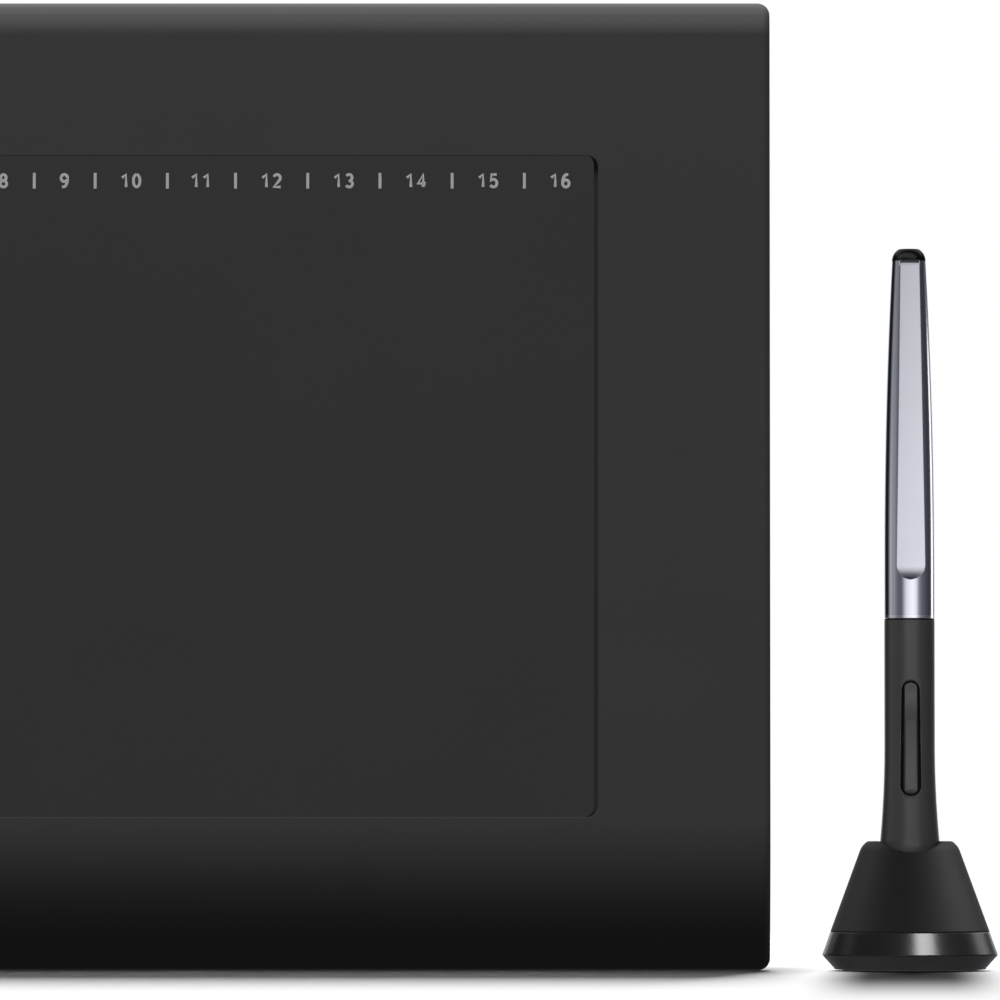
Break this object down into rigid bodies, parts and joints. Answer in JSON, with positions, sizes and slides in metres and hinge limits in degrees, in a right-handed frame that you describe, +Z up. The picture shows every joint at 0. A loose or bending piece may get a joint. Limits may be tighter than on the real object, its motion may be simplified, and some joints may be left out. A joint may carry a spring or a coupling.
{
  "type": "pen tablet",
  "caption": "Black pen tablet with an inlaid drawing sheet and side press keys, standing on its lower edge beside a pen upright in a weighted conical stand.",
  "frame": {"origin": "middle of the floor area that the tablet and the stand cover together, on the floor", "axes": "+Z up along the tablet's short side, +X right along its long side towards the stand, -Y out of the drawing face"},
  "size_m": [0.4164, 0.0436, 0.24],
  "materials": {
    "case_black": "fine moulded texture",
    "sheet_black": "fine paper-like grain",
    "key_black": "satin moulded",
    "rubber_black": "matte",
    "board_green": "solder mask",
    "part_black": "matte moulded",
    "shield_steel": "rolled sheet",
    "foam_grey": "open-cell foam",
    "cable_film": "polyimide film",
    "socket_steel": "plated sheet",
    "light_clear": "clear, polished",
    "screw_steel": "black zinc",
    "grip_black": "soft-touch paint",
    "sleeve_metal": "polished gunmetal",
    "clip_silver": "satin",
    "cap_gloss": "polished",
    "nib_black": "smooth acetal",
    "ferrite_grey": "sintered",
    "coil_copper": "enamelled wire",
    "stand_black": "fine moulded texture",
    "ring_gloss": "polished",
    "weight_iron": "zinc plated"
  },
  "bodies": {
    "root": {"front_shell": "case_black", "back_shell": "case_black", "drawing_sheet": "sheet_black", "sensor_board": "board_green", "shield_plate": "shield_steel", "foam_pad": "foam_grey", "sensor_cable": "cable_film", "key_cable": "cable_film", "key_board": "board_green", "key_switches": "part_black", "controller_board": "board_green", "lead_socket": "socket_steel", "status_light": "light_clear", "case_screws": "screw_steel", "rubber_feet": "rubber_black", "stand_ring": "ring_gloss", "stand_base": "stand_black", "stand_pad": "rubber_black", "stand_weight": "weight_iron", "nib_tray": "part_black", "spare_nibs": "nib_black", "nib_puller": "socket_steel"},
    "stand_cone": {"stand_cone": "stand_black"},
    "pen": {"pen_grip": "grip_black", "pen_sleeve": "sleeve_metal", "pen_cap": "cap_gloss", "rocker_pin": "socket_steel", "pen_chassis": "part_black", "pen_board": "board_green", "side_switches": "part_black", "pressure_sensor": "part_black", "nib_collar": "part_black", "ferrite_core": "ferrite_grey", "antenna_coil": "coil_copper"},
    "rocker": {"rocker_button": "key_black"},
    "clip": {"pen_clip": "clip_silver"},
    "nib": {"pen_nib": "nib_black"},
    "press_key_01": {"press_key_01": "key_black"},
    "press_key_02": {"press_key_02": "key_black"},
    "press_key_03": {"press_key_03": "key_black"},
    "press_key_04": {"press_key_04": "key_black"},
    "press_key_05": {"press_key_05": "key_black"},
    "press_key_06": {"press_key_06": "key_black"},
    "press_key_07": {"press_key_07": "key_black"},
    "press_key_08": {"press_key_08": "key_black"},
    "press_key_09": {"press_key_09": "key_black"},
    "press_key_10": {"press_key_10": "key_black"},
    "press_key_11": {"press_key_11": "key_black"},
    "press_key_12": {"press_key_12": "key_black"}
  },
  "joints": [
    {"name": "cone_lift", "type": "slide", "parent": "root", "child": "stand_cone", "axis": [0, 0, 1], "range_m": [0, 0.04]},
    {"name": "pen_lift", "type": "slide", "parent": "stand_cone", "child": "pen", "axis": [0, 0, 1], "range_m": [0, 0.06]},
    {"name": "rocker_tilt", "type": "hinge", "parent": "pen", "child": "rocker", "pos_m": [0.1864, -0.003, 0.05745], "axis": [1, 0, 0], "range_deg": [-2.5, 2.5], "stiffness_Nm_per_rad": 0.2},
    {"name": "clip_flex", "type": "hinge", "parent": "pen", "child": "clip", "pos_m": [0.1864, -0.0039, 0.17527], "axis": [-1, 0, 0], "range_deg": [0, 3], "stiffness_Nm_per_rad": 4},
    {"name": "nib_press", "type": "slide", "parent": "pen", "child": "nib", "axis": [0, 0, 1], "range_m": [0, 0.0005], "stiffness_N_per_m": 1000},
    {"name": "key_01_press", "type": "slide", "parent": "root", "child": "press_key_01", "axis": [0, 1, 0], "range_m": [0, 0.0005], "stiffness_N_per_m": 800},
    {"name": "key_02_press", "type": "slide", "parent": "root", "child": "press_key_02", "axis": [0, 1, 0], "range_m": [0, 0.0005], "stiffness_N_per_m": 800},
    {"name": "key_03_press", "type": "slide", "parent": "root", "child": "press_key_03", "axis": [0, 1, 0], "range_m": [0, 0.0005], "stiffness_N_per_m": 800},
    {"name": "key_04_press", "type": "slide", "parent": "root", "child": "press_key_04", "axis": [0, 1, 0], "range_m": [0, 0.0005], "stiffness_N_per_m": 800},
    {"name": "key_05_press", "type": "slide", "parent": "root", "child": "press_key_05", "axis": [0, 1, 0], "range_m": [0, 0.0005], "stiffness_N_per_m": 800},
    {"name": "key_06_press", "type": "slide", "parent": "root", "child": "press_key_06", "axis": [0, 1, 0], "range_m": [0, 0.0005], "stiffness_N_per_m": 800},
    {"name": "key_07_press", "type": "slide", "parent": "root", "child": "press_key_07", "axis": [0, 1, 0], "range_m": [0, 0.0005], "stiffness_N_per_m": 800},
    {"name": "key_08_press", "type": "slide", "parent": "root", "child": "press_key_08", "axis": [0, 1, 0], "range_m": [0, 0.0005], "stiffness_N_per_m": 800},
    {"name": "key_09_press", "type": "slide", "parent": "root", "child": "press_key_09", "axis": [0, 1, 0], "range_m": [0, 0.0005], "stiffness_N_per_m": 800},
    {"name": "key_10_press", "type": "slide", "parent": "root", "child": "press_key_10", "axis": [0, 1, 0], "range_m": [0, 0.0005], "stiffness_N_per_m": 800},
    {"name": "key_11_press", "type": "slide", "parent": "root", "child": "press_key_11", "axis": [0, 1, 0], "range_m": [0, 0.0005], "stiffness_N_per_m": 800},
    {"name": "key_12_press", "type": "slide", "parent": "root", "child": "press_key_12", "axis": [0, 1, 0], "range_m": [0, 0.0005], "stiffness_N_per_m": 800}
  ]
}
